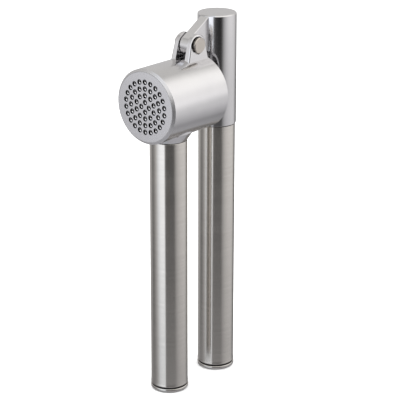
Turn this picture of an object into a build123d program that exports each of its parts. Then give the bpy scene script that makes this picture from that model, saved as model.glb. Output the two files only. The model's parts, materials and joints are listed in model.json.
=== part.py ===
from build123d import *
import math
import os

os.makedirs("parts", exist_ok=True)

# Driving sizes in millimetres. Everything further down follows from these.
tube_outer = 18.0
tube_wall = 1.2

chamber_outer = 36.0
chamber_wall = 2.5
chamber_length = 38.4
chamber_reach = 16.1       # chamber front face ahead of the front handle axis
chamber_axis_height = 147.6
mouth_wall = 1.0           # wall left at the rear edge, where the bore opens out
mouth_length = 5.0

sieve_thickness = 2.0
sieve_seat_width = 1.2     # step in the bore that the sieve rests on
rim_land = 0.2             # flat of the chamber rim round the sieve
sieve_hole = 1.6
sieve_mouth = 2.6          # each hole opens out to this at the front
sieve_mouth_depth = 0.7    # straight part of the mouth, in front of a 45 degree cone
sieve_mouth_ledge = 0.05
ring_start = 2.35          # radius of the innermost ring of holes
ring_pitch = 3.22
ring_counts = (4, 10, 16, 22)

neck_below_chamber = 1.0   # seat of the neck below the chamber
neck_flare = 3.0
neck_flare_height = 4.6
neck_root = 2.5            # the neck runs this far into the chamber wall

head_overhang = 0.45       # the rear head stands this far out from its tube
head_gap = 3.55            # between the chamber and the rear head
head_above_hinge = 11.7
head_below_chamber = 0.5
head_bevel = 0.45

seam_chamfer = 0.2         # edge break where a casting meets its tube
seal_thickness = 0.9
seal_inset = 0.35
cap_overhang = 0.2
cap_height = 2.0
cap_round = 1.1
spigot_length = 12.0
cap_spigot_length = 8.0
slide_gap = 0.05
rod_diameter = 4.0
rod_grip = 7.0
rod_end_gap = 0.5

pin_diameter = 5.6
pin_head_lip = 0.95        # the pin head stands this far out from its shank
pin_head_height = 2.2
pin_head_chamfer = 0.3
pin_proud = 1.1            # pin head above the face of the ear
pin_socket = 2.4
pin_socket_depth = 4.5
socket_gap = 0.02
recess_clearance = 0.6
recess_shift = 0.54        # the recess lies this far ahead of the pin
running_gap = 0.05

hinge_before_rear = 6.8    # hinge axis ahead of the rear edge of the chamber
ear_length = 14.0          # foot of the ears, up to the rear edge of the chamber
ear_width = 3.2            # at the root; the draft thins it upwards
ear_draft = 3.4            # degrees
ear_gap = 5.6
ear_rim = 0.75             # metal of the ear beyond the radius of the recess
ear_foot_drop = 1.0        # ear corners below the top of the chamber
ear_root = 2.0             # the ears run this far below their corners
ear_edge_round = 0.8
lug_side_gap = 0.3
lug_wall = 1.9             # radius of the lug beyond that of the pin
lug_drop = 0.7             # middle of the lug below the pin
lug_clearance = 0.9        # between the lug and the chamber
lug_slope = 31.0           # degrees
lug_edge_round = 0.3

plunger_thickness = 4.0
plunger_face_gap = 1.0
plunger_clearance = 0.35
pivot_behind_plunger = 9.1
pivot_drop = 7.0           # plunger pivot below the chamber axis
pivot_pin_diameter = 4.0
pivot_wall = 1.2           # metal of the bosses round the plunger pin
cheek_width = 2.6
cheek_rise = 1.5
arm_side_gap = 0.35
root_overlap = 1.0         # how far one feature runs into the one that carries it

# Derived sizes and positions. The ground is z = 0 and the middle of the press is x = y = 0.
tube_radius = tube_outer / 2
tube_inner = tube_radius - tube_wall
spigot_radius = tube_inner - slide_gap
head_radius = tube_radius + head_overhang
cap_radius = tube_radius + cap_overhang
chamber_radius = chamber_outer / 2
bore_radius = chamber_radius - chamber_wall
mouth_radius = chamber_radius - mouth_wall
seat_radius = bore_radius + sieve_seat_width
front_bevel = chamber_radius - seat_radius - rim_land
lug_width = ear_gap - 2 * lug_side_gap
lug_radius = pin_diameter / 2 + lug_wall
pin_head_radius = pin_diameter / 2 + pin_head_lip
recess_radius = pin_head_radius + recess_clearance
ear_radius = recess_radius + ear_rim
pivot_boss_radius = pivot_pin_diameter / 2 + pivot_wall
rod_radius = rod_diameter / 2

handle_pitch = chamber_length - chamber_reach + head_gap + head_radius
total_depth = chamber_reach + handle_pitch + head_radius
front_face_y = -total_depth / 2
front_y = front_face_y + chamber_reach
rear_y = front_y + handle_pitch
chamber_rear_y = front_face_y + chamber_length
sieve_back_y = front_face_y + sieve_thickness
plunger_front_y = sieve_back_y + plunger_face_gap
plunger_back_y = plunger_front_y + plunger_thickness

axis_z = chamber_axis_height
chamber_top_z = axis_z + chamber_radius
chamber_bottom_z = axis_z - chamber_radius
lug_point = (chamber_rear_y - hinge_before_rear, chamber_top_z + lug_clearance + lug_radius)
lug_y, lug_z = lug_point
hinge_y, hinge_z = hinge_point = (lug_y, lug_z + lug_drop)
pivot_point = (plunger_back_y + pivot_behind_plunger, axis_z - pivot_drop)
pivot_y, pivot_z = pivot_point
neck_seat_z = chamber_bottom_z - neck_below_chamber
head_seat_z = chamber_bottom_z - head_below_chamber
head_top_z = hinge_z + head_above_hinge
tube_bottom_z = cap_height + seal_thickness
cap_spigot_top_z = tube_bottom_z + cap_spigot_length

ear_corner_z = chamber_top_z - ear_foot_drop
ear_root_z = ear_corner_z - ear_root
ear_top_z = hinge_z + ear_radius
ear_lean = math.tan(math.radians(ear_draft))
ear_inner_x = ear_gap / 2
ear_outer_x = ear_inner_x + ear_width
ear_top_x = ear_outer_x - (ear_top_z - ear_root_z) * ear_lean
pin_head_x = ear_outer_x - (hinge_z - ear_root_z) * ear_lean + pin_proud
recess_point = (hinge_y - recess_shift, hinge_z)
cheek_inner_x = lug_width / 2 + arm_side_gap
cheek_outer_x = cheek_inner_x + cheek_width

# The plunger keeps parallel to the chamber while its pivot swings round the hinge,
# so its height wanders. Its outline is the part of the bore that it never leaves.
crank = math.hypot(pivot_y - hinge_y, pivot_z - hinge_z)
pivot_sag = pivot_z - (hinge_z - crank)
plunger_arc = bore_radius - plunger_clearance


def tangent_point(point, centre, radius, side):
    # Where a line from a point outside touches a circle. Side is +1 or -1.
    distance = math.hypot(centre[0] - point[0], centre[1] - point[1])
    towards = math.atan2(point[1] - centre[1], point[0] - centre[0])
    angle = towards + side * math.acos(radius / distance)
    return (centre[0] + radius * math.cos(angle), centre[1] + radius * math.sin(angle))


def across_y(y):
    # Sketch plane across the chamber, centred on its axis, looking along +Y.
    return Plane(origin=(0, y, axis_z), x_dir=(1, 0, 0), z_dir=(0, 1, 0))


def through_axis(y):
    # Upright sketch plane through the axis of a handle, with its height as the second value.
    return Plane(origin=(0, y, 0), x_dir=(1, 0, 0), z_dir=(0, -1, 0))


# Chamber casting with its neck, the spigot inside the tube and the two hinge ears.
ear_front = (chamber_rear_y - ear_length, ear_corner_z)
ear_rear = (chamber_rear_y, ear_corner_z)
ear_touch_front = tangent_point(ear_front, hinge_point, ear_radius, -1)
ear_touch_rear = tangent_point(ear_rear, hinge_point, ear_radius, 1)
flare_top = (tube_radius + neck_flare, neck_seat_z + neck_flare_height)
neck_top_z = flare_top[1] + neck_root

with BuildPart() as press_chamber:
    for side in (1, -1):
        with BuildSketch(Plane.YZ.offset(side * (ear_inner_x + ear_width / 2))):
            with BuildLine():
                Polyline(
                    (ear_front[0], ear_root_z), ear_front, ear_touch_front, hinge_point,
                    ear_touch_rear, ear_rear, (ear_rear[0], ear_root_z),
                    (ear_front[0], ear_root_z),
                )
            make_face()
            with Locations(hinge_point):
                Circle(ear_radius)
        extrude(amount=ear_width / 2, both=True)
    with BuildSketch(through_axis(hinge_y)):
        with BuildLine():
            Polyline(
                (-ear_outer_x, ear_root_z), (ear_outer_x, ear_root_z), (ear_top_x, ear_top_z),
                (-ear_top_x, ear_top_z), (-ear_outer_x, ear_root_z),
            )
        make_face()
    extrude(amount=ear_length, both=True, mode=Mode.INTERSECT)
    ear_faces = press_chamber.faces().sort_by(Axis.X)
    fillet(ear_faces[0].edges() + ear_faces[-1].edges(), ear_edge_round)
    with BuildSketch(across_y(front_face_y)):
        Circle(chamber_radius)
    extrude(amount=chamber_length)
    rims = press_chamber.edges().filter_by(GeomType.CIRCLE)
    rims = rims.filter_by(lambda rim: rim.radius > bore_radius).sort_by(Axis.Y)
    chamfer(rims[0], front_bevel)
    with BuildSketch(through_axis(front_y)):
        with BuildLine():
            Polyline(
                (0, neck_seat_z - spigot_length), (spigot_radius, neck_seat_z - spigot_length),
                (spigot_radius, neck_seat_z), (tube_radius - seam_chamfer, neck_seat_z),
                (tube_radius, neck_seat_z + seam_chamfer), flare_top, (flare_top[0], neck_top_z),
                (0, neck_top_z), (0, neck_seat_z - spigot_length),
            )
        make_face()
    revolve(axis=Axis((0, front_y, 0), (0, 0, 1)))
    with BuildSketch(across_y(front_face_y)):
        Circle(bore_radius)
    extrude(amount=chamber_length, mode=Mode.SUBTRACT)
    with BuildSketch(across_y(front_face_y)):
        Circle(seat_radius)
    extrude(amount=sieve_thickness, mode=Mode.SUBTRACT)
    with BuildSketch(across_y(chamber_rear_y - mouth_length)):
        Circle(bore_radius)
    with BuildSketch(across_y(chamber_rear_y)):
        Circle(mouth_radius)
    loft(mode=Mode.SUBTRACT)
    with BuildSketch(Plane.YZ):
        with Locations(hinge_point):
            Circle(pin_diameter / 2)
    extrude(amount=pin_head_x, both=True, mode=Mode.SUBTRACT)
    for side in (1, -1):
        with BuildSketch(Plane.YZ.offset(side * (pin_head_x - pin_head_height))):
            with Locations(recess_point):
                Circle(recess_radius)
        extrude(amount=side * pin_head_height, mode=Mode.SUBTRACT)
    with BuildSketch(Plane.XY.offset(neck_seat_z - spigot_length)):
        with Locations((0, front_y)):
            Circle(rod_radius)
    extrude(amount=rod_grip + rod_end_gap, mode=Mode.SUBTRACT)
press_chamber.part.label = "press_chamber"
export_step(press_chamber.part, "parts/press_chamber.step")

# Perforated disc let into the front of the chamber. Each hole opens out to the front.
with BuildPart() as sieve_plate:
    with BuildSketch(across_y(front_face_y)):
        Circle(seat_radius - slide_gap)
    extrude(amount=sieve_thickness)
    for diameter, depth in ((sieve_hole, sieve_thickness), (sieve_mouth, sieve_mouth_depth)):
        with BuildSketch(across_y(front_face_y)):
            for ring, count in enumerate(ring_counts):
                with PolarLocations(ring_start + ring * ring_pitch, count, start_angle=90):
                    Circle(diameter / 2)
        extrude(amount=depth, mode=Mode.SUBTRACT)
    steps = sieve_plate.edges().filter_by(GeomType.CIRCLE)
    steps = steps.filter_by_position(Axis.Y, front_face_y, sieve_back_y, inclusive=(False, False))
    steps = steps.filter_by(lambda edge: edge.radius < sieve_mouth / 2 - sieve_mouth_ledge)
    chamfer(steps, (sieve_mouth - sieve_hole) / 2 - sieve_mouth_ledge)
sieve_plate.part.label = "sieve_plate"
export_step(sieve_plate.part, "parts/sieve_plate.step")

# Handles: tube, dark ring, end cap and the stud that clamps them to the casting.
rod_bottom_z = cap_spigot_top_z - rod_grip
cap_hole_bottom_z = rod_bottom_z - rod_end_gap

for end, handle_y, seat_z in (("front", front_y, neck_seat_z), ("rear", rear_y, head_seat_z)):
    with BuildPart() as handle_tube:
        with BuildSketch(Plane.XY.offset(tube_bottom_z)):
            with Locations((0, handle_y)):
                Circle(tube_radius)
                Circle(tube_inner, mode=Mode.SUBTRACT)
        extrude(amount=seat_z - tube_bottom_z)
    handle_tube.part.label = end + "_handle_tube"
    export_step(handle_tube.part, "parts/" + end + "_handle_tube.step")

    with BuildPart() as cap_seal:
        with BuildSketch(Plane.XY.offset(cap_height)):
            with Locations((0, handle_y)):
                Circle(tube_radius - seal_inset)
                Circle(spigot_radius, mode=Mode.SUBTRACT)
        extrude(amount=seal_thickness)
    cap_seal.part.label = end + "_cap_seal"
    export_step(cap_seal.part, "parts/" + end + "_cap_seal.step")

    with BuildPart() as end_cap:
        with BuildSketch(Plane.XY):
            with Locations((0, handle_y)):
                Circle(cap_radius)
        extrude(amount=cap_height)
        rims = end_cap.edges().filter_by(GeomType.CIRCLE).sort_by(Axis.Z)
        fillet(rims[0], cap_round)
        with BuildSketch(Plane.XY.offset(cap_height)):
            with Locations((0, handle_y)):
                Circle(spigot_radius)
        extrude(amount=cap_spigot_top_z - cap_height)
        with BuildSketch(Plane.XY.offset(cap_hole_bottom_z)):
            with Locations((0, handle_y)):
                Circle(rod_radius)
        extrude(amount=cap_spigot_top_z - cap_hole_bottom_z, mode=Mode.SUBTRACT)
    end_cap.part.label = end + "_end_cap"
    export_step(end_cap.part, "parts/" + end + "_end_cap.step")

    with BuildPart() as tie_rod:
        with BuildSketch(Plane.XY.offset(rod_bottom_z)):
            with Locations((0, handle_y)):
                Circle(rod_radius)
        extrude(amount=seat_z - spigot_length + rod_grip - rod_bottom_z)
    tie_rod.part.label = end + "_tie_rod"
    export_step(tie_rod.part, "parts/" + end + "_tie_rod.step")

# Rear head with the sloped hinge lug above and the plunger arm in front.
slope = math.radians(lug_slope)
lug_touch = (lug_y - lug_radius * math.sin(slope), lug_z + lug_radius * math.cos(slope))
lug_root_y = rear_y - math.sqrt(head_radius ** 2 - (lug_width / 2) ** 2)
lug_root_z = lug_touch[1] + (lug_root_y - lug_touch[0]) * math.tan(slope)
lug_inside_y = rear_y - lug_width / 2
arm_top = (lug_inside_y, axis_z)
arm_bottom = (lug_inside_y, pivot_z - pivot_boss_radius)
arm_touch = tangent_point(arm_top, pivot_point, pivot_boss_radius, 1)

with BuildPart() as rear_head:
    with BuildSketch(Plane.YZ):
        with BuildLine():
            Polyline(
                lug_point, lug_touch, (lug_root_y, lug_root_z), (lug_inside_y, lug_root_z),
                (lug_inside_y, lug_z - lug_radius), (lug_y, lug_z - lug_radius), lug_point,
            )
        make_face()
        with Locations(lug_point):
            Circle(lug_radius)
    extrude(amount=lug_width / 2, both=True)
    lug_sides = rear_head.faces().filter_by(Axis.X)
    fillet(lug_sides.edges(), lug_edge_round)
    with BuildSketch(through_axis(rear_y)):
        with BuildLine():
            Polyline(
                (0, head_seat_z - spigot_length), (spigot_radius, head_seat_z - spigot_length),
                (spigot_radius, head_seat_z), (head_radius - seam_chamfer, head_seat_z),
                (head_radius, head_seat_z + seam_chamfer), (head_radius, head_top_z - head_bevel),
                (head_radius - head_bevel, head_top_z), (0, head_top_z),
                (0, head_seat_z - spigot_length),
            )
        make_face()
    revolve(axis=Axis((0, rear_y, 0), (0, 0, 1)))
    with BuildSketch(Plane.YZ):
        with BuildLine():
            Polyline(
                pivot_point, arm_touch, arm_top, arm_bottom,
                (pivot_y, pivot_z - pivot_boss_radius), pivot_point,
            )
        make_face()
        with Locations(pivot_point):
            Circle(pivot_boss_radius)
    extrude(amount=lug_width / 2, both=True)
    with BuildSketch(Plane.YZ):
        with Locations(hinge_point):
            Circle(pin_diameter / 2 + running_gap)
        with Locations(pivot_point):
            Circle(pivot_pin_diameter / 2 + running_gap)
    extrude(amount=lug_width, both=True, mode=Mode.SUBTRACT)
    with BuildSketch(Plane.XY.offset(head_seat_z - spigot_length)):
        with Locations((0, rear_y)):
            Circle(rod_radius)
    extrude(amount=rod_grip + rod_end_gap, mode=Mode.SUBTRACT)
rear_head.part.label = "rear_head"
export_step(rear_head.part, "parts/rear_head.step")

# Hinge pin with a round head in the near ear, and the cap that closes the far side.
shank_end_x = pin_head_x - pin_head_height

with BuildPart() as hinge_pin:
    with BuildSketch(Plane.YZ.offset(-shank_end_x)):
        with Locations(hinge_point):
            Circle(pin_diameter / 2)
    extrude(amount=2 * shank_end_x)
    with BuildSketch(Plane.YZ.offset(shank_end_x)):
        with Locations(hinge_point):
            Circle(pin_head_radius)
    extrude(amount=pin_head_height)
    rims = hinge_pin.edges().filter_by(GeomType.CIRCLE).sort_by(Axis.X)
    chamfer(rims[-1], pin_head_chamfer)
    with BuildSketch(Plane.YZ.offset(-shank_end_x)):
        with Locations(hinge_point):
            Circle(pin_socket / 2)
    extrude(amount=pin_socket_depth, mode=Mode.SUBTRACT)
hinge_pin.part.label = "hinge_pin"
export_step(hinge_pin.part, "parts/hinge_pin.step")

with BuildPart() as hinge_pin_cap:
    with BuildSketch(Plane.YZ.offset(-shank_end_x)):
        with Locations(hinge_point):
            Circle(pin_head_radius)
    extrude(amount=-pin_head_height)
    rims = hinge_pin_cap.edges().filter_by(GeomType.CIRCLE).sort_by(Axis.X)
    chamfer(rims[0], pin_head_chamfer)
    with BuildSketch(Plane.YZ.offset(-shank_end_x)):
        with Locations(hinge_point):
            Circle(pin_socket / 2 - socket_gap)
    extrude(amount=pin_socket_depth - rod_end_gap)
hinge_pin_cap.part.label = "hinge_pin_cap"
export_step(hinge_pin_cap.part, "parts/hinge_pin_cap.step")

# Plunger disc with two cheeks that straddle the arm.
cheek_top = (plunger_back_y, pivot_z + pivot_boss_radius + cheek_rise)
cheek_bottom = (plunger_back_y, pivot_z - pivot_boss_radius)
cheek_touch = tangent_point(cheek_top, pivot_point, pivot_boss_radius, -1)
cheek_root_y = plunger_back_y - root_overlap

with BuildPart() as plunger:
    with BuildSketch(across_y(plunger_front_y)):
        Circle(plunger_arc)
        with Locations((0, -pivot_sag)):
            Circle(plunger_arc, mode=Mode.INTERSECT)
    extrude(amount=plunger_thickness)
    for side in (1, -1):
        with BuildSketch(Plane.YZ.offset(side * (cheek_inner_x + cheek_width / 2))):
            with BuildLine():
                Polyline(
                    (cheek_root_y, cheek_top[1]), cheek_top, cheek_touch, pivot_point,
                    (pivot_y, cheek_bottom[1]), cheek_bottom, (cheek_root_y, cheek_bottom[1]),
                    (cheek_root_y, cheek_top[1]),
                )
            make_face()
            with Locations(pivot_point):
                Circle(pivot_boss_radius)
        extrude(amount=cheek_width / 2, both=True)
    with BuildSketch(Plane.YZ):
        with Locations(pivot_point):
            Circle(pivot_pin_diameter / 2)
    extrude(amount=cheek_outer_x + root_overlap, both=True, mode=Mode.SUBTRACT)
plunger.part.label = "plunger"
export_step(plunger.part, "parts/plunger.step")

with BuildPart() as plunger_pin:
    with BuildSketch(Plane.YZ.offset(-cheek_outer_x)):
        with Locations(pivot_point):
            Circle(pivot_pin_diameter / 2)
    extrude(amount=2 * cheek_outer_x)
plunger_pin.part.label = "plunger_pin"
export_step(plunger_pin.part, "parts/plunger_pin.step")
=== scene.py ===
import json
import math

import bmesh
import bpy
from mathutils import Matrix, Vector

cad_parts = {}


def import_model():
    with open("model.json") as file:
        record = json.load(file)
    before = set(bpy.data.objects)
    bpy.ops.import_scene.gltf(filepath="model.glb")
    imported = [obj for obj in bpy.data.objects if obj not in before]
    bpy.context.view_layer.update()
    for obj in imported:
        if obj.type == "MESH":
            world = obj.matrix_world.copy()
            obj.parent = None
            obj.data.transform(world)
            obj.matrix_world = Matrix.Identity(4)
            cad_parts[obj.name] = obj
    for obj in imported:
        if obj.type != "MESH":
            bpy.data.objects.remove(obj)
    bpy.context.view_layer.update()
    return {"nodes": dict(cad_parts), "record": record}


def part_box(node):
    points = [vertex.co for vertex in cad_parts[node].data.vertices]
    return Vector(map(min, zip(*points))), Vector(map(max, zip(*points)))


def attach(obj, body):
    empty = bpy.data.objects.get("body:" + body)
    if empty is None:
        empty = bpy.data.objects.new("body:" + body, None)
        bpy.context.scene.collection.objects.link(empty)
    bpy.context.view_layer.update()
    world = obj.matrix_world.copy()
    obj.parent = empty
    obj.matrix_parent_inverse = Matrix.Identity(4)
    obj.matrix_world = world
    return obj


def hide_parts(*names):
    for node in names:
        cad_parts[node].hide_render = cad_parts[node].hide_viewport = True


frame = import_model()

MM = 0.001
PHOTO_SIZE = 400
SENSOR = 36.0

# The camera comes from a perspective fit to the edges of the tubes, chamber and head.
# Its place is given from the point where the front handle axis meets the chamber axis.
CAMERA_OFFSET = Vector((508.9, -569.94, 221.79)) * MM
CAMERA_TURN = 40.638
CAMERA_RISE = 19.565
CAMERA_ROLL = 0.089
FOCAL_PIXELS = 1694.0

scene = bpy.context.scene
scene.view_settings.view_transform = "Standard"


def linear(hex_colour):
    # One sRGB hex value as a linear colour with alpha.
    values = [int(hex_colour[i:i + 2], 16) / 255 for i in (1, 3, 5)]
    return [v / 12.92 if v <= 0.04045 else ((v + 0.055) / 1.055) ** 2.4 for v in values] + [1.0]


def add(tree, kind, settings=None, **sockets):
    # Adds a node. Socket names use _ for a space, and in0, in1 count them instead.
    # A value that is a socket, or a list of sockets, is linked; any other value is set.
    node = tree.nodes.new(kind)
    for key, value in (settings or {}).items():
        if key == "stops":
            elements = node.color_ramp.elements
            while len(elements) < len(value):
                elements.new(1.0)
            for element, (place, level) in zip(elements, value):
                element.position = place
                element.color = (level, level, level, 1.0)
        else:
            setattr(node, key, value)
    for key, value in sockets.items():
        target = node.inputs[int(key[2:]) if key[2:].isdigit() else key.replace("_", " ")]
        links = value if isinstance(value, list) else [value]
        if isinstance(links[0], bpy.types.NodeSocket):
            for link in links:
                tree.links.new(link, target)
        else:
            target.default_value = value
    return node


def new_material(name):
    material = bpy.data.materials.new(name)
    material.use_nodes = True
    material.node_tree.nodes.clear()
    return material, material.node_tree


# Widths of the painted shade line at the top of each tube, where it meets the casting.
FRONT_SHADE_LINE = 0.18 * MM
REAR_SHADE_LINE = 0.4 * MM
SHADE_LINE_FADE = 0.08 * MM


def brushed_tube_steel(front_shade_top, rear_shade_top):
    # Stainless 18/8 tube, polished round its girth on a belt: sharp upright bands of
    # reflection, smeared along the tube, with fine level lines. The real lines are
    # about 0.05 mm apart; they are drawn coarser so that they show. Above a given height,
    # against the casting, each tube is painted dark as shade at the joint.
    material, tree = new_material("brushed_tube_steel")
    place = add(tree, "ShaderNodeTexCoord")
    lines = add(
        tree, "ShaderNodeMapping", Vector=place.outputs["Object"],
        Scale=(1 / (18 * MM), 1 / (18 * MM), 1 / (0.4 * MM)),
    )
    grain = add(tree, "ShaderNodeTexNoise", Vector=lines.outputs[0], Scale=1.0, Detail=3.0, Roughness=0.6)
    broad = add(
        tree, "ShaderNodeMapping", Vector=place.outputs["Object"],
        Scale=(1 / (60 * MM), 1 / (60 * MM), 1 / (9 * MM)),
    )
    patch = add(tree, "ShaderNodeTexNoise", Vector=broad.outputs[0], Scale=1.0, Detail=2.0)
    rough = add(tree, "ShaderNodeMapRange", Value=patch.outputs[0], To_Min=0.17, To_Max=0.27)
    tone = add(
        tree, "ShaderNodeMix", {"data_type": "RGBA"}, Factor=grain.outputs[0],
        in6=linear("#cfcbc6"), in7=linear("#e8e4de"),
    )
    spot = add(tree, "ShaderNodeSeparateXYZ", Vector=place.outputs["Object"])
    rear = add(tree, "ShaderNodeMath", {"operation": "GREATER_THAN"}, in0=spot.outputs[1], in1=0.0)
    shade_start = add(
        tree, "ShaderNodeMapRange", Value=rear.outputs[0], To_Min=front_shade_top, To_Max=rear_shade_top,
    )
    below = add(
        tree, "ShaderNodeMath", {"operation": "SUBTRACT"}, in0=shade_start.outputs[0], in1=spot.outputs[2],
    )
    # Painted shade: above the shade line the tube colour is multiplied down to 0.03.
    edge = add(
        tree, "ShaderNodeMapRange", Value=below.outputs[0], From_Min=-SHADE_LINE_FADE / 2,
        From_Max=SHADE_LINE_FADE / 2, To_Min=0.03, To_Max=1.0,
    )
    tone = add(
        tree, "ShaderNodeMix", {"data_type": "RGBA", "blend_type": "MULTIPLY"}, Factor=1.0,
        in6=tone.outputs[2], in7=edge.outputs[0],
    )
    bump = add(tree, "ShaderNodeBump", Strength=0.03, Distance=0.02 * MM, Height=grain.outputs[0])
    girth = add(tree, "ShaderNodeTangent", {"direction_type": "RADIAL", "axis": "Z"})
    shader = add(
        tree, "ShaderNodeBsdfPrincipled", Base_Color=tone.outputs[2], Metallic=1.0,
        Roughness=rough.outputs[0], Normal=bump.outputs[0], Tangent=girth.outputs[0],
        Anisotropic=0.85, Anisotropic_Rotation=0.25,
    )
    add(tree, "ShaderNodeOutputMaterial", Surface=shader.outputs[0])
    return material


def plated_metal(name, low, high, roughness, grain_mm, wave_mm, wave, shade_by_depth=None, rim=None, foot=None):
    # A plated or polished metal: soft-edged reflections, a very fine grain from the
    # blasting under the plate, and the slow waves that hand polishing leaves. The argument after wave
    # gives two values of y and, between them, how bright the metal is left: a painted shade by depth. Rim
    # gives two values of y between which the metal is as turned, and duller. Foot is the height up to which
    # the round edge above the flat that it stands on is painted dark as shade.
    material, tree = new_material(name)
    place = add(tree, "ShaderNodeTexCoord")
    spot = add(tree, "ShaderNodeSeparateXYZ", Vector=place.outputs["Object"])
    grain = add(
        tree, "ShaderNodeTexNoise", Vector=place.outputs["Object"], Scale=1 / (grain_mm * MM),
        Detail=2.0, Roughness=0.6,
    )
    cloud = add(
        tree, "ShaderNodeTexNoise", Vector=place.outputs["Object"], Scale=1 / (wave_mm * MM), Detail=1.0,
    )
    tone = add(
        tree, "ShaderNodeMix", {"data_type": "RGBA"}, Factor=cloud.outputs[0],
        in6=linear(low), in7=linear(high),
    )
    rough = add(
        tree, "ShaderNodeMapRange", Value=grain.outputs[0], To_Min=roughness - 0.04,
        To_Max=roughness + 0.04,
    )
    # Painted shade: the colour is multiplied along y by the given levels, dark in the hole mouths and bores.
    if shade_by_depth:
        front, back, shade_levels = shade_by_depth
        along = add(
            tree, "ShaderNodeMapRange", Value=spot.outputs[1], From_Min=front, From_Max=back,
        )
        shade_tone = add(tree, "ShaderNodeValToRGB", {"stops": shade_levels}, Fac=along.outputs[0])
        tone = add(
            tree, "ShaderNodeMix", {"data_type": "RGBA", "blend_type": "MULTIPLY"}, Factor=1.0,
            in6=tone.outputs[2], in7=shade_tone.outputs[0],
        )
    # Painted shade: the round edge just above the flat that the cap stands on is multiplied down to 0.1.
    if foot:
        rise = add(tree, "ShaderNodeMapRange", Value=spot.outputs[2], From_Max=foot)
        foot_shade = add(
            tree, "ShaderNodeValToRGB", {"stops": ((0.01, 1.0), (0.03, 0.1), (0.2, 0.1), (1.0, 1.0))},
            Fac=rise.outputs[0],
        )
        tone = add(
            tree, "ShaderNodeMix", {"data_type": "RGBA", "blend_type": "MULTIPLY"}, Factor=1.0,
            in6=tone.outputs[2], in7=foot_shade.outputs[0],
        )
    if rim:
        along = add(
            tree, "ShaderNodeMapRange", Value=spot.outputs[1], From_Min=rim[0], From_Max=rim[1],
        )
        turned = add(
            tree, "ShaderNodeValToRGB", {"stops": ((0.02, 0.0), (0.04, 1.0), (0.96, 1.0), (0.98, 0.0))},
            Fac=along.outputs[0],
        )
        rough = add(
            tree, "ShaderNodeMath", {"operation": "MULTIPLY_ADD"}, in0=turned.outputs[0], in1=0.26,
            in2=rough.outputs[0],
        )
    waves = add(tree, "ShaderNodeBump", Strength=wave, Distance=0.1 * MM, Height=cloud.outputs[0])
    bump = add(
        tree, "ShaderNodeBump", Strength=0.05, Distance=0.01 * MM, Height=grain.outputs[0],
        Normal=waves.outputs[0],
    )
    shader = add(
        tree, "ShaderNodeBsdfPrincipled", Base_Color=tone.outputs[2], Metallic=1.0,
        Roughness=rough.outputs[0], Normal=bump.outputs[0],
    )
    add(tree, "ShaderNodeOutputMaterial", Surface=shader.outputs[0])
    return material


def turned_pin_steel(hinge, recess_x):
    # Plain steel faced on a lathe: close rings round the hinge axis, a little warm. Inside
    # the recess of the ear, nearer the middle than recess_x, it is painted black as shade.
    material, tree = new_material("turned_pin_steel")
    place = add(tree, "ShaderNodeTexCoord")
    centred = add(
        tree, "ShaderNodeMapping", Vector=place.outputs["Object"],
        Location=(0, -hinge.y, -hinge.z),
    )
    rings = add(
        tree, "ShaderNodeTexWave", {"wave_type": "RINGS", "rings_direction": "X"},
        Vector=centred.outputs[0], Scale=1 / (20 * 0.35 * MM), Distortion=0.6, Detail=2.0,
    )
    rough = add(tree, "ShaderNodeMapRange", Value=rings.outputs["Fac"], To_Min=0.3, To_Max=0.42)
    bump = add(tree, "ShaderNodeBump", Strength=0.15, Distance=0.01 * MM, Height=rings.outputs["Fac"])
    across = add(tree, "ShaderNodeSeparateXYZ", Vector=place.outputs["Object"])
    outward = add(tree, "ShaderNodeMath", {"operation": "ABSOLUTE"}, in0=across.outputs[0])
    # Painted shade: the pin is near-black where it sits inside the ear's recess.
    unshaded = add(
        tree, "ShaderNodeMapRange", Value=outward.outputs[0], From_Min=recess_x - 0.3 * MM,
        From_Max=recess_x,
    )
    tone = add(
        tree, "ShaderNodeMix", {"data_type": "RGBA"}, Factor=unshaded.outputs[0],
        in6=linear("#151413"), in7=linear("#c9c3bc"),
    )
    shader = add(
        tree, "ShaderNodeBsdfPrincipled", Base_Color=tone.outputs[2], Metallic=1.0,
        Roughness=rough.outputs[0], Normal=bump.outputs[0],
    )
    add(tree, "ShaderNodeOutputMaterial", Surface=shader.outputs[0])
    return material


def black_rubber():
    # Moulded nitrile rubber: dull black with a faint dusty sheen.
    material, tree = new_material("black_rubber")
    place = add(tree, "ShaderNodeTexCoord")
    grain = add(
        tree, "ShaderNodeTexNoise", Vector=place.outputs["Object"], Scale=1 / (0.3 * MM), Detail=2.0,
    )
    rough = add(tree, "ShaderNodeMapRange", Value=grain.outputs[0], To_Min=0.6, To_Max=0.8)
    shader = add(
        tree, "ShaderNodeBsdfPrincipled", Base_Color=linear("#121110"), Roughness=rough.outputs[0], IOR=1.52,
    )
    add(tree, "ShaderNodeOutputMaterial", Surface=shader.outputs[0])
    return material


hinge = Vector(frame["record"]["behaviour"]["joints"][0]["pos_m"])
PIN_HEAD = 1.1 * MM
RIM_BEVEL = 1.1 * MM
# Height of the painted shade along the foot of each cap.
CAP_FOOT_SHADE = 0.8 * MM
chamber_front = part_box("press_chamber")[0][1]
sieve_low, sieve_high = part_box("sieve_plate")
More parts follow.
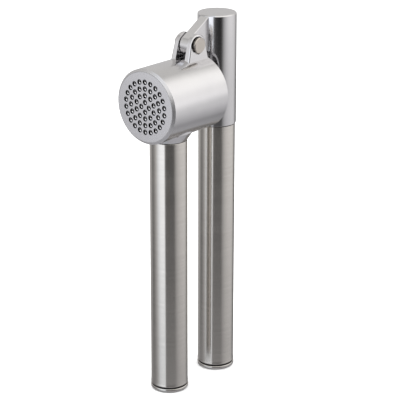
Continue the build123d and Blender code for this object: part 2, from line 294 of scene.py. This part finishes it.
# Painted shade through the sieve, from front to back: the face is bright, the mouth of each hole and
# the start of its cone are painted dark as shade, the rest of the cone keeps its tone, and the bore is
# painted dark as shade.
sieve_hole_shade = (
    (0.01, 0.91), (0.02, 0.01), (0.44, 0.01), (0.46, 1.0), (0.59, 1.0), (0.61, 0.01),
    (0.98, 0.01), (0.99, 0.91),
)
FINISHES = {
    "casting_satin": plated_metal(
        "satin_plated_casting", "#d6d5d7", "#dcdbdc", 0.16, 0.25, 6.0, 0.02,
        rim=(chamber_front, chamber_front + RIM_BEVEL),
    ),
    "sieve_satin": plated_metal(
        "satin_pressed_sieve", "#f2f1f4", "#f8f7fa", 0.26, 0.3, 4.0, 0.02,
        (sieve_low[1], sieve_high[1], sieve_hole_shade),
    ),
    "tube_brushed": brushed_tube_steel(
        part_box("front_handle_tube")[1][2] - FRONT_SHADE_LINE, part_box("rear_handle_tube")[1][2] - REAR_SHADE_LINE,
    ),
    "cap_satin": plated_metal(
        "polished_cap_steel", "#d2cfcb", "#d9d6d2", 0.13, 0.3, 5.0, 0.01, foot=CAP_FOOT_SHADE,
    ),
    "pin_steel": turned_pin_steel(hinge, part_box("hinge_pin")[1][0] - PIN_HEAD),
    "seal_rubber": black_rubber(),
}
slots = {row["node"]: row["material_slot"] for row in frame["record"]["subparts"]}
bodies = {
    node: body for body, members in frame["record"]["behaviour"]["bodies"].items() for node in members
}


def show(node, mesh):
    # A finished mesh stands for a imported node: evenly shaded, in its finish, on its body.
    mesh.materials.clear()
    mesh.materials.append(FINISHES[slots[node]])
    for polygon in mesh.polygons:
        polygon.use_smooth = True
        polygon.material_index = 0
    mesh.set_sharp_from_angle(angle=math.radians(24))
    draft = bpy.data.objects.new("draft", mesh)
    scene.collection.objects.link(draft)
    even = draft.modifiers.new("even_shading", "WEIGHTED_NORMAL")
    even.keep_sharp = True
    even.weight = 100
    finished = bpy.data.meshes.new_from_object(draft.evaluated_get(bpy.context.evaluated_depsgraph_get()))
    bpy.data.objects.remove(draft)
    piece = bpy.data.objects.new("shown_" + node, finished)
    scene.collection.objects.link(piece)
    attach(piece, bodies[node])
    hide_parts(node)


def merged_copy(node):
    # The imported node's own shape, with its loose triangles joined.
    mesh = frame["nodes"][node].data.copy()
    work = bmesh.new()
    work.from_mesh(mesh)
    bmesh.ops.remove_doubles(work, verts=work.verts, dist=0.0005 * MM)
    work.to_mesh(mesh)
    work.free()
    if "custom_normal" in mesh.attributes:
        mesh.attributes.remove(mesh.attributes["custom_normal"])
    return mesh


def rounded(corners, steps=6):
    # A closed outline in radius and height, in metres. Each corner has its own radius.
    outline = []
    for i, (r, z, size) in enumerate(corners):
        corner = Vector((r, z))
        before = (Vector(corners[i - 1][:2]) - corner).normalized()
        after = (Vector(corners[(i + 1) % len(corners)][:2]) - corner).normalized()
        if size == 0:
            outline.append(corner)
            continue
        half = before.angle(after) / 2
        centre = corner + (before + after).normalized() * size / math.sin(half)
        start = corner + before * size / math.tan(half) - centre
        end = corner + after * size / math.tan(half) - centre
        turn = start.angle_signed(end)
        for step in range(steps + 1):
            outline.append(centre + Matrix.Rotation(-turn * step / steps, 2) @ start)
    return outline


def lathe(outline, axis, segments=160):
    # Turns a closed outline round an upright axis.
    work = bmesh.new()
    rings = []
    for r, z in outline:
        rings.append([
            work.verts.new((
                axis.x + r * math.cos(math.tau * i / segments),
                axis.y + r * math.sin(math.tau * i / segments), z,
            ))
            for i in range(segments)
        ])
    for low, high in zip(rings, rings[1:] + rings[:1]):
        for i in range(segments):
            j = (i + 1) % segments
            work.faces.new((low[i], low[j], high[j], high[i]))
    bmesh.ops.remove_doubles(work, verts=work.verts, dist=0.0005 * MM)
    bmesh.ops.dissolve_degenerate(work, edges=work.edges, dist=0.0005 * MM)
    bmesh.ops.recalc_face_normals(work, faces=work.faces)
    mesh = bpy.data.meshes.new("turned")
    work.to_mesh(mesh)
    work.free()
    return mesh


def middle(node):
    low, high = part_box(node)
    return (Vector(low) + Vector(high)) / 2


def handle_tube(end):
    # Rolled tube: the ends are eased, and the lower one opens out a hair at the groove.
    low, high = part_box(end + "_handle_tube")
    radius = (high[0] - low[0]) / 2
    wall = 1.2 * MM
    flare = 0.12 * MM
    flare_height = 1.8 * MM
    ease = 0.25 * MM
    top_ease = 0.4 * MM
    outline = rounded([
        (radius - wall, low[2], 0), (radius + flare, low[2], ease),
        (radius + flare, low[2] + 2 * ease, 0), (radius, low[2] + flare_height, 0),
        (radius, high[2], top_ease), (radius - wall, high[2], 0),
    ])
    show(end + "_handle_tube", lathe(outline, middle(end + "_handle_tube")))


SPIGOT_RADIUS = 7.75 * MM


def end_cap(end):
    # Turned cap with a full round below, an eased top edge and its spigot in the tube.
    low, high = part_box(end + "_end_cap")
    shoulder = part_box(end + "_cap_seal")[0][2]
    radius = (high[0] - low[0]) / 2
    foot_round = 1.1 * MM
    ease = 0.4 * MM
    outline = rounded([
        (0, low[2], 0), (radius, low[2], foot_round), (radius, shoulder, ease),
        (SPIGOT_RADIUS, shoulder, 0), (SPIGOT_RADIUS, high[2], ease), (0, high[2], 0),
    ])
    show(end + "_end_cap", lathe(outline, middle(end + "_end_cap")))


def cap_seal(end):
    # Rubber ring squeezed between the tube and the cap.
    low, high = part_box(end + "_cap_seal")
    radius = (high[0] - low[0]) / 2
    squeeze = 0.35 * MM
    outline = rounded([
        (SPIGOT_RADIUS, low[2], 0), (radius, low[2], squeeze),
        (radius, high[2], squeeze), (SPIGOT_RADIUS, high[2], 0),
    ])
    show(end + "_cap_seal", lathe(outline, middle(end + "_cap_seal")))


# Sizes of the sieve holes, in millimetres, as they are made in the part.
RING_COUNTS = (4, 10, 16, 22)
SIEVE_SIZES = {
    "Hole Radius": 0.8, "Mouth Radius": 1.3, "Mouth Depth": 0.7, "Cone Depth": 1.2,
    "First Ring": 2.35, "Ring Pitch": 3.22,
}
HOLE_SIDES = 28
PLATE_SIDES = 160


def sieve_tree(names):
    # Plate with rings of holes. Each hole opens out to the front.
    tree = bpy.data.node_groups.new("sieve_perforations", "GeometryNodeTree")
    for name in names:
        tree.interface.new_socket(name, in_out="INPUT", socket_type="NodeSocketFloat")
    tree.interface.new_socket("Place", in_out="INPUT", socket_type="NodeSocketVector")
    tree.interface.new_socket("Finish", in_out="INPUT", socket_type="NodeSocketMaterial")
    tree.interface.new_socket("Geometry", in_out="OUTPUT", socket_type="NodeSocketGeometry")
    given = add(tree, "NodeGroupInput").outputs
    rings = []
    for ring, count in enumerate(RING_COUNTS):
        reach = add(
            tree, "ShaderNodeMath", {"operation": "MULTIPLY_ADD"}, in0=given["Ring Pitch"],
            in1=float(ring), in2=given["First Ring"],
        )
        rings.append(add(tree, "GeometryNodeMeshCircle", Vertices=count, Radius=reach.outputs[0]).outputs[0])
    centres = add(tree, "GeometryNodeJoinGeometry", Geometry=rings).outputs[0]
    back = add(
        tree, "ShaderNodeMath", {"operation": "MULTIPLY"}, in0=given["Plate Thickness"], in1=-1.0,
    )
    back_place = add(tree, "ShaderNodeCombineXYZ", Z=back.outputs[0])
    sides = []
    for hole_size in ("Mouth Radius", "Hole Radius"):
        hole = add(tree, "GeometryNodeCurvePrimitiveCircle", Resolution=HOLE_SIDES, Radius=given[hole_size])
        holes = add(tree, "GeometryNodeInstanceOnPoints", Points=centres, Instance=hole.outputs[0])
        loose = add(tree, "GeometryNodeRealizeInstances", Geometry=holes.outputs[0])
        edge = add(
            tree, "GeometryNodeCurvePrimitiveCircle", Resolution=PLATE_SIDES, Radius=given["Plate Radius"],
        )
        outline = add(tree, "GeometryNodeJoinGeometry", Geometry=[loose.outputs[0], edge.outputs[0]])
        sides.append(add(tree, "GeometryNodeFillCurve", Curve=outline.outputs[0]).outputs[0])
    behind = add(tree, "GeometryNodeTransform", Geometry=sides[1], Translation=back_place.outputs[0])
    turned = add(tree, "GeometryNodeFlipFaces", Mesh=behind.outputs[0])
    half_back = add(
        tree, "ShaderNodeVectorMath", {"operation": "SCALE"}, in0=back_place.outputs[0], Scale=0.5,
    )
    rim = add(
        tree, "GeometryNodeMeshCylinder", {"fill_type": "NONE"}, Vertices=PLATE_SIDES,
        Radius=given["Plate Radius"], Depth=given["Plate Thickness"],
    )
    rim_placed = add(
        tree, "GeometryNodeTransform", Geometry=rim.outputs[0], Translation=half_back.outputs[0],
    )
    # From the front: a short straight mouth, a cone and a straight hole. The cone node
    # grows upwards from its lower end.
    sections = []
    for start, end, top, bottom in (
        (None, "Mouth Depth", "Mouth Radius", "Mouth Radius"),
        ("Mouth Depth", "Cone Depth", "Mouth Radius", "Hole Radius"),
        ("Cone Depth", "Plate Thickness", "Hole Radius", "Hole Radius"),
    ):
        length = add(
            tree, "ShaderNodeMath", {"operation": "SUBTRACT"}, in0=given[end],
            in1=given[start] if start else 0.0,
        )
        drop = add(tree, "ShaderNodeMath", {"operation": "MULTIPLY"}, in0=given[end], in1=-1.0)
        place = add(tree, "ShaderNodeCombineXYZ", Z=drop.outputs[0])
        section = add(
            tree, "GeometryNodeMeshCone", {"fill_type": "NONE"}, Vertices=HOLE_SIDES,
            Radius_Top=given[top], Radius_Bottom=given[bottom], Depth=length.outputs[0],
        )
        sections.append(add(
            tree, "GeometryNodeTransform", Geometry=section.outputs[0], Translation=place.outputs[0],
        ).outputs[0])
    funnel = add(tree, "GeometryNodeJoinGeometry", Geometry=sections)
    inward = add(tree, "GeometryNodeFlipFaces", Mesh=funnel.outputs[0])
    funnels = add(tree, "GeometryNodeInstanceOnPoints", Points=centres, Instance=inward.outputs[0])
    whole = add(
        tree, "GeometryNodeJoinGeometry",
        Geometry=[sides[0], turned.outputs[0], rim_placed.outputs[0], funnels.outputs[0]],
    )
    real = add(tree, "GeometryNodeRealizeInstances", Geometry=whole.outputs[0])
    welded = add(tree, "GeometryNodeMergeByDistance", Geometry=real.outputs[0], Distance=0.001 * MM)
    # The front turns to -Y, and the first hole of each ring turns to the bottom.
    placed = add(
        tree, "GeometryNodeTransform", Geometry=welded.outputs[0], Translation=given["Place"],
        Rotation=(math.pi / 2, math.pi / 2, 0),
    )
    finished = add(
        tree, "GeometryNodeSetMaterial", Geometry=placed.outputs[0], Material=given["Finish"],
    )
    add(tree, "NodeGroupOutput", Geometry=finished.outputs[0])
    return tree


def sieve_plate():
    low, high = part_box("sieve_plate")
    sizes = {name: size * MM for name, size in SIEVE_SIZES.items()}
    sizes["Plate Radius"] = (high[0] - low[0]) / 2
    sizes["Plate Thickness"] = high[1] - low[1]
    tree = sieve_tree(sizes)
    draft = bpy.data.objects.new("sieve_draft", bpy.data.meshes.new("sieve_draft"))
    scene.collection.objects.link(draft)
    maker = draft.modifiers.new("perforations", "NODES")
    maker.node_group = tree
    centre = middle("sieve_plate")
    given = dict(sizes, Place=(centre.x, low[1], centre.z), Finish=FINISHES["sieve_satin"])
    for item in tree.interface.items_tree:
        if item.in_out == "INPUT":
            maker[item.identifier] = given[item.name]
    mesh = bpy.data.meshes.new_from_object(draft.evaluated_get(bpy.context.evaluated_depsgraph_get()))
    draft.modifiers.remove(maker)
    bpy.data.objects.remove(draft)
    show("sieve_plate", mesh)


made = {"sieve_plate"}
sieve_plate()
for end in ("front", "rear"):
    handle_tube(end)
    end_cap(end)
    cap_seal(end)
    made |= {end + "_handle_tube", end + "_end_cap", end + "_cap_seal"}
for node in slots:
    if node not in made:
        show(node, merged_copy(node))


def floor():
    # Pale floor that fades into the white background.
    bpy.ops.mesh.primitive_plane_add(size=6.0)
    plane = bpy.context.object
    plane.name = "floor"
    material, tree = new_material("pale_floor")
    shader = add(tree, "ShaderNodeBsdfPrincipled", Base_Color=linear("#f6f6f6"), Roughness=0.9)
    add(tree, "ShaderNodeOutputMaterial", Surface=shader.outputs[0])
    plane.data.materials.append(material)
    plane.visible_glossy = False


# Studio tent that the metal reflects: brightness by angle from the camera, in degrees, for
# its wall, its horizon and its roof, which blend by height. It dims towards the ground,
# which gives a glow of its own. The key light, to the left, is a little cool.
TENT_RADIUS = 0.6
TENT_CENTRE = (0, 0, 0.15)
BRIGHTEST = 2.0
WALL_LEVELS = (
    (-180, 0.12), (-170, 0.3), (-158, 0.5), (-140, 0.55), (-128, 0.45), (-118, 0.27), (-109, 0.19),
    (-99, 0.25), (-90, 0.36), (-82, 0.53), (-74, 0.67), (-67, 0.92), (-60, 1.13), (-53, 1.27), (-46, 1.35),
    (-25, 1.38), (-20, 0.23), (-12, 0.08), (2, 0.035), (16, 0.02), (27, 0.04), (34, 0.15), (40, 0.31),
    (47, 0.45), (60, 0.6), (76, 0.7), (92, 0.75), (112, 0.78), (124, 0.66), (134, 0.35), (152, 0.12),
    (180, 0.1),
)
HORIZON_LEVELS = (
    (-180, 0.64), (-120, 0.5), (-100, 0.58), (-86, 0.72), (-76, 1.05), (-66, 1.5), (-40, 1.65), (-26, 1.6),
    (-20, 0.3), (-8, 0.06), (7, 0.03), (22, 0.02), (30, 0.12), (36, 0.42), (47, 0.75), (60, 1.02),
    (76, 1.2), (90, 1.22), (96, 1.1), (100, 1.06), (112, 1.02), (123, 0.8), (137, 0.62), (180, 0.64),
)
ROOF_LEVELS = (
    (-180, 0.68), (-134, 0.75), (-120, 0.52), (-102, 0.6), (-73, 0.85), (-37, 1.05), (-20, 1.25), (40, 1.2),
    (105, 1.3), (114, 1.27), (126, 1.0), (141, 0.68), (180, 0.68),
)
WALL_TOP, HORIZON_START, HORIZON_TOP, ROOF_START = -20, 2, 8, 27
GROUND_TINT, ROOF_TINT, KEY_TINT = "#fcfbff", "#fffdf8", "#f5f9ff"
KEY_SPREAD = ((-85, 0.0), (-64, 1.0), (-26, 1.0), (-16, 0.0))
DIMMING = ((-60, 0.2), (-50, 0.36), (-44, 0.5), (-40, 0.57), (-33, 0.73), (-27, 0.87), (-20, 1.0))
GROUND_GLOW = (
    (-60, 0.5), (-46, 0.42), (-40, 0.28), (-33, 0.18), (-28, 0.13), (-21, 0.1), (-16.6, 0.1), (-14, 0.0),
)


def studio_tent():
    # A sphere that only reflections see.
    bpy.ops.mesh.primitive_uv_sphere_add(
        segments=96, ring_count=48, radius=TENT_RADIUS, location=TENT_CENTRE,
    )
    tent = bpy.context.object
    tent.name = "studio_tent"
    material, tree = new_material("studio_tent_light")
    place = add(tree, "ShaderNodeTexCoord")
    # The camera looks from 90 - CAMERA_TURN degrees below the +X axis.
    turned = add(
        tree, "ShaderNodeMapping", Vector=place.outputs["Object"],
        Rotation=(0, 0, math.radians(90 - CAMERA_TURN)),
    )
    angle = add(tree, "ShaderNodeTexGradient", {"gradient_type": "RADIAL"}, Vector=turned.outputs[0])
    height = add(tree, "ShaderNodeSeparateXYZ", Vector=place.outputs["Object"])
    rise = add(
        tree, "ShaderNodeMapRange", Value=height.outputs[2], From_Min=-TENT_RADIUS, From_Max=TENT_RADIUS,
    )
    parts = []
    for levels in (WALL_LEVELS, HORIZON_LEVELS, ROOF_LEVELS):
        stops = [((degrees + 180) / 360, level / BRIGHTEST) for degrees, level in levels]
        parts.append(add(tree, "ShaderNodeValToRGB", {"stops": stops}, Fac=angle.outputs["Fac"]).outputs[0])
    for levels, full in ((DIMMING, 1.0), (GROUND_GLOW, BRIGHTEST)):
        stops = [((1 + math.sin(math.radians(degrees))) / 2, level / full) for degrees, level in levels]
        parts.append(add(tree, "ShaderNodeValToRGB", {"stops": stops}, Fac=rise.outputs[0]).outputs[0])
    level, horizon, roof, dimming, ground = parts
    for start, end, above in ((WALL_TOP, HORIZON_START, horizon), (HORIZON_TOP, ROOF_START, roof)):
        low_z, high_z = (TENT_RADIUS * math.sin(math.radians(degrees)) for degrees in (start, end))
        lift = add(
            tree, "ShaderNodeMapRange", {"interpolation_type": "SMOOTHSTEP"}, Value=height.outputs[2],
            From_Min=low_z, From_Max=high_z,
        )
        level = add(
            tree, "ShaderNodeMix", {"data_type": "RGBA"}, Factor=lift.outputs[0], in6=level, in7=above,
        ).outputs[2]
    dimmed = add(tree, "ShaderNodeMath", {"operation": "MULTIPLY"}, in0=level, in1=dimming)
    lit = add(tree, "ShaderNodeMath", {"operation": "MAXIMUM"}, in0=dimmed.outputs[0], in1=ground)
    strength = add(tree, "ShaderNodeMath", {"operation": "MULTIPLY"}, in0=lit.outputs[0], in1=BRIGHTEST)
    tint = add(
        tree, "ShaderNodeMix", {"data_type": "RGBA"}, Factor=rise.outputs[0],
        in6=linear(GROUND_TINT), in7=linear(ROOF_TINT),
    )
    spread = [((degrees + 180) / 360, share) for degrees, share in KEY_SPREAD]
    key = add(tree, "ShaderNodeValToRGB", {"stops": spread}, Fac=angle.outputs["Fac"])
    keyed = add(
        tree, "ShaderNodeMix", {"data_type": "RGBA"}, Factor=key.outputs[0],
        in6=tint.outputs[2], in7=linear(KEY_TINT),
    )
    glow = add(tree, "ShaderNodeEmission", Color=keyed.outputs[2], Strength=strength.outputs[0])
    add(tree, "ShaderNodeOutputMaterial", Surface=glow.outputs[0])
    tent.data.materials.append(material)
    tent.visible_camera = False
    tent.visible_diffuse = False
    tent.visible_shadow = False


def lamp(name, place, size, power):
    data = bpy.data.lights.new(name, "AREA")
    data.shape = "DISK"
    data.size = size
    data.energy = power
    lamp_object = bpy.data.objects.new(name, data)
    lamp_object.location = place
    lamp_object.rotation_euler = (Vector((0, 0, 0.08)) - Vector(place)).to_track_quat("-Z", "Y").to_euler()
    lamp_object.visible_glossy = False
    scene.collection.objects.link(lamp_object)


def world():
    # White for the camera, for reflections and through glass, brighter for the fill.
    environment = bpy.data.worlds.new("studio")
    environment.use_nodes = True
    tree = environment.node_tree
    tree.nodes.clear()
    path = add(tree, "ShaderNodeLightPath")
    seen = add(
        tree, "ShaderNodeMath", {"operation": "MAXIMUM"},
        in0=path.outputs["Is Camera Ray"], in1=path.outputs["Is Glossy Ray"],
    )
    shown = add(
        tree, "ShaderNodeMath", {"operation": "MAXIMUM"},
        in0=seen.outputs[0], in1=path.outputs["Is Transmission Ray"],
    )
    strength = add(tree, "ShaderNodeMapRange", Value=shown.outputs[0], To_Min=1.6, To_Max=1.0)
    glow = add(tree, "ShaderNodeBackground", Color=linear("#ffffff"), Strength=strength.outputs[0])
    add(tree, "ShaderNodeOutputWorld", Surface=glow.outputs[0])
    scene.world = environment


def camera():
    data = bpy.data.cameras.new("photo_camera")
    data.sensor_width = SENSOR
    data.lens = FOCAL_PIXELS / PHOTO_SIZE * SENSOR
    camera_object = bpy.data.objects.new("photo_camera", data)
    turn = math.radians(CAMERA_TURN)
    rise = math.radians(CAMERA_RISE)
    back = Vector((math.sin(turn) * math.cos(rise), -math.cos(turn) * math.cos(rise), math.sin(rise)))
    right = Vector((math.cos(turn), math.sin(turn), 0))
    up = back.cross(right)
    roll = math.radians(CAMERA_ROLL)
    right_rolled = right * math.cos(roll) + up * math.sin(roll)
    up_rolled = up * math.cos(roll) - right * math.sin(roll)
    turned = Matrix((right_rolled, up_rolled, back)).transposed()
    handle = middle("front_handle_tube")
    crossing = Vector((handle.x, handle.y, middle("sieve_plate").z))
    camera_object.matrix_world = Matrix.Translation(crossing + CAMERA_OFFSET) @ turned.to_4x4()
    scene.collection.objects.link(camera_object)
    scene.camera = camera_object


floor()
studio_tent()
lamp("key_left", (-0.7, -0.9, 0.9), 0.9, 3.5)
lamp("fill_right", (0.9, 0.3, 0.9), 0.9, 3.5)
world()
camera()
